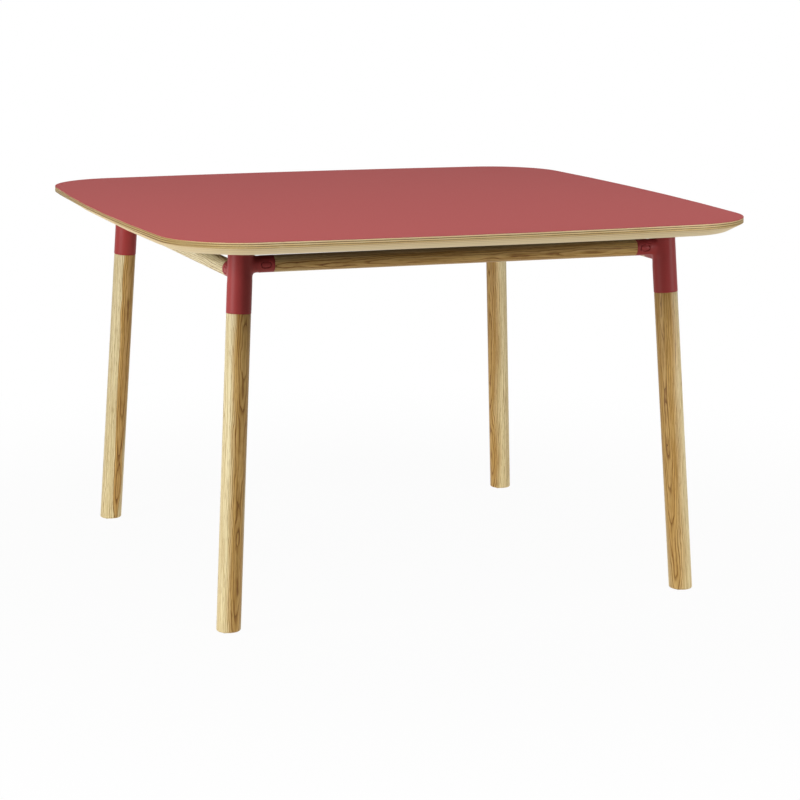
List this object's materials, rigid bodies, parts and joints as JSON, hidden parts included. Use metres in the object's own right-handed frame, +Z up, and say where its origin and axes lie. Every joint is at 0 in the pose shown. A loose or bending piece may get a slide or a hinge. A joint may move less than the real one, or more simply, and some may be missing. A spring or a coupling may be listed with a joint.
{
  "type": "square dining table",
  "caption": "Square dining table with softly bowed sides: laminate on a bevelled plywood top, splayed round oak legs and oak rails held in moulded corner brackets.",
  "frame": {"origin": "on the floor under the middle of the tabletop", "axes": "+Z up, X along the front and back rails, Y from the front to the back, front towards -Y"},
  "size_m": [1.2, 1.2, 0.744],
  "materials": {
    "laminate": "matte dusty red laminate, very fine even texture",
    "plywood": "clear lacquered plywood, plies showing at the edge and bevel",
    "bracket_plastic": "moulded, fine matte grain, dusty red",
    "oak": "clear matte lacquered oak with long grain",
    "glide_plastic": "moulded nylon, matte",
    "zinc_steel": "bright zinc plated"
  },
  "bodies": {
    "root": {"tabletop_laminate": "laminate", "tabletop_core": "plywood", "bracket_front_left": "bracket_plastic", "bracket_front_right": "bracket_plastic", "bracket_back_left": "bracket_plastic", "bracket_back_right": "bracket_plastic", "leg_front_left": "oak", "leg_front_right": "oak", "leg_back_left": "oak", "leg_back_right": "oak", "glide_front_left": "glide_plastic", "glide_front_right": "glide_plastic", "glide_back_left": "glide_plastic", "glide_back_right": "glide_plastic", "rail_front": "oak", "rail_back": "oak", "rail_left": "oak", "rail_right": "oak", "tabletop_screws": "zinc_steel", "leg_screws": "zinc_steel", "arm_caps": "bracket_plastic"}
  },
  "joints": []
}
